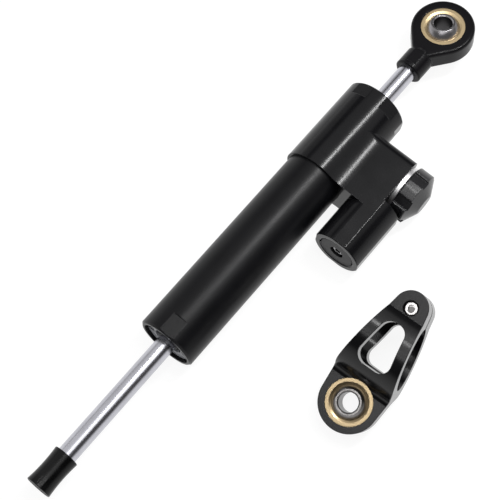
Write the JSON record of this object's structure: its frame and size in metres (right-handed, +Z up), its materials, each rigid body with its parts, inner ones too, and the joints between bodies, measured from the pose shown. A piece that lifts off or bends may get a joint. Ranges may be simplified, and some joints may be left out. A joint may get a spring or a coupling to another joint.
{
  "type": "motorcycle steering damper",
  "caption": "Linear steering damper: through rod with spherical rod end, head with side reservoir and knob, and a loose split clamp with a spherical bearing.",
  "frame": {"origin": "middle of the whole's box on the floor that it lies on", "axes": "+X along the damper towards the rod-end eye, +Z up, -Y towards the reservoir and the clamp"},
  "size_m": [0.2708, 0.0968, 0.0391],
  "materials": {
    "black_anodised_tube": "black anodised, fine satin",
    "black_anodised_head": "black anodised, semi-gloss",
    "black_anodised_parts": "black anodised, semi-gloss",
    "plain_aluminium": "turned",
    "chrome": "hard chromed and polished",
    "steel": "ground and polished",
    "dark_spring_steel": "blackened",
    "brass": "pale, satin",
    "bronze_bush": "sintered bronze",
    "cap_rubber": "moulded, matte",
    "seal_rubber": "matte",
    "ring_plastic": "filled PTFE, matte"
  },
  "bodies": {
    "cylinder": {"outer_tube": "black_anodised_tube", "inner_tube": "plain_aluminium", "lower_gland": "black_anodised_parts", "lower_gland_o_ring": "seal_rubber", "lower_bush": "bronze_bush", "lower_rod_seal": "seal_rubber", "lower_wiper": "seal_rubber", "head_block": "black_anodised_head", "head_o_ring": "seal_rubber", "head_bush": "bronze_bush", "head_rod_seal": "seal_rubber", "head_wiper": "seal_rubber", "passage_plug": "steel", "reservoir_cap": "black_anodised_parts", "reservoir_cap_o_ring": "seal_rubber", "reservoir_snap_ring": "dark_spring_steel", "fill_screw": "steel", "valve_seat": "brass", "adjuster_bush": "steel", "valve_o_rings": "seal_rubber", "adjuster_o_ring": "seal_rubber"},
    "piston_seal": {"piston_ring": "ring_plastic"},
    "rod_assembly": {"rod": "chrome", "piston": "plain_aluminium", "piston_circlips": "steel", "rod_end_housing": "black_anodised_parts", "rod_end_race": "brass", "rubber_end_cap": "cap_rubber"},
    "rod_end_ball": {"rod_end_ball": "steel"},
    "adjuster": {"adjuster_knob": "black_anodised_parts", "knob_circlip": "steel", "detent_spring": "steel"},
    "detent_ball": {"detent_ball": "steel"},
    "needle": {"valve_needle": "steel"},
    "compensator": {"compensator_piston": "plain_aluminium", "compensator_o_ring": "seal_rubber"},
    "clamp": {"clamp_body": "black_anodised_parts", "clamp_race": "brass", "clamp_screw": "steel"},
    "clamp_ball": {"clamp_ball": "steel"}
  },
  "joints": [
    {"name": "rod_slide", "type": "slide", "parent": "cylinder", "child": "piston_seal", "axis": [0.9999, 0, 0.0128], "range_m": [-0.02, 0.055]},
    {"name": "rod_turn", "type": "hinge", "parent": "piston_seal", "child": "rod_assembly", "pos_m": [0.12165, 0.03445, 0.01515], "axis": [0.9999, 0, 0.0128], "continuous": true},
    {"name": "rod_end_tilt", "type": "hinge", "parent": "rod_assembly", "child": "rod_end_ball", "pos_m": [0.12165, 0.03445, 0.01515], "axis": [-0.6284, 0.7744, -0.0731], "range_deg": [-24, 4]},
    {"name": "adjuster_turn", "type": "hinge", "parent": "cylinder", "child": "adjuster", "pos_m": [0.05209, 0.00238, 0.01203], "axis": [0.0009, -0.9976, -0.0692], "range_deg": [-160, 160]},
    {"name": "detent_click", "type": "slide", "parent": "adjuster", "child": "detent_ball", "axis": [0.0009, -0.9976, -0.0692], "range_m": [0, 0.0002], "stiffness_N_per_m": 400},
    {"name": "needle_slide", "type": "slide", "parent": "cylinder", "child": "needle", "axis": [0.0009, -0.9976, -0.0692], "range_m": [-0.00036, 0.00036]},
    {"name": "compensator_slide", "type": "slide", "parent": "cylinder", "child": "compensator", "axis": [0.9999, 0, 0.0128], "range_m": [-0.003, 0.003], "stiffness_N_per_m": 1500},
    {"name": "clamp_lift", "type": "slide", "parent": "cylinder", "child": "clamp", "axis": [0, 0, 1], "range_m": [0, 0.06]},
    {"name": "clamp_tilt", "type": "hinge", "parent": "clamp", "child": "clamp_ball", "pos_m": [-0.03308, -0.0357, 0.00887], "axis": [-0.0358, 0.9994, 0], "range_deg": [-14, 14]}
  ],
  "couplings": [
    {"joint": "needle_slide", "follows": "adjuster_turn", "m_per_rad": 0.00012732}
  ]
}
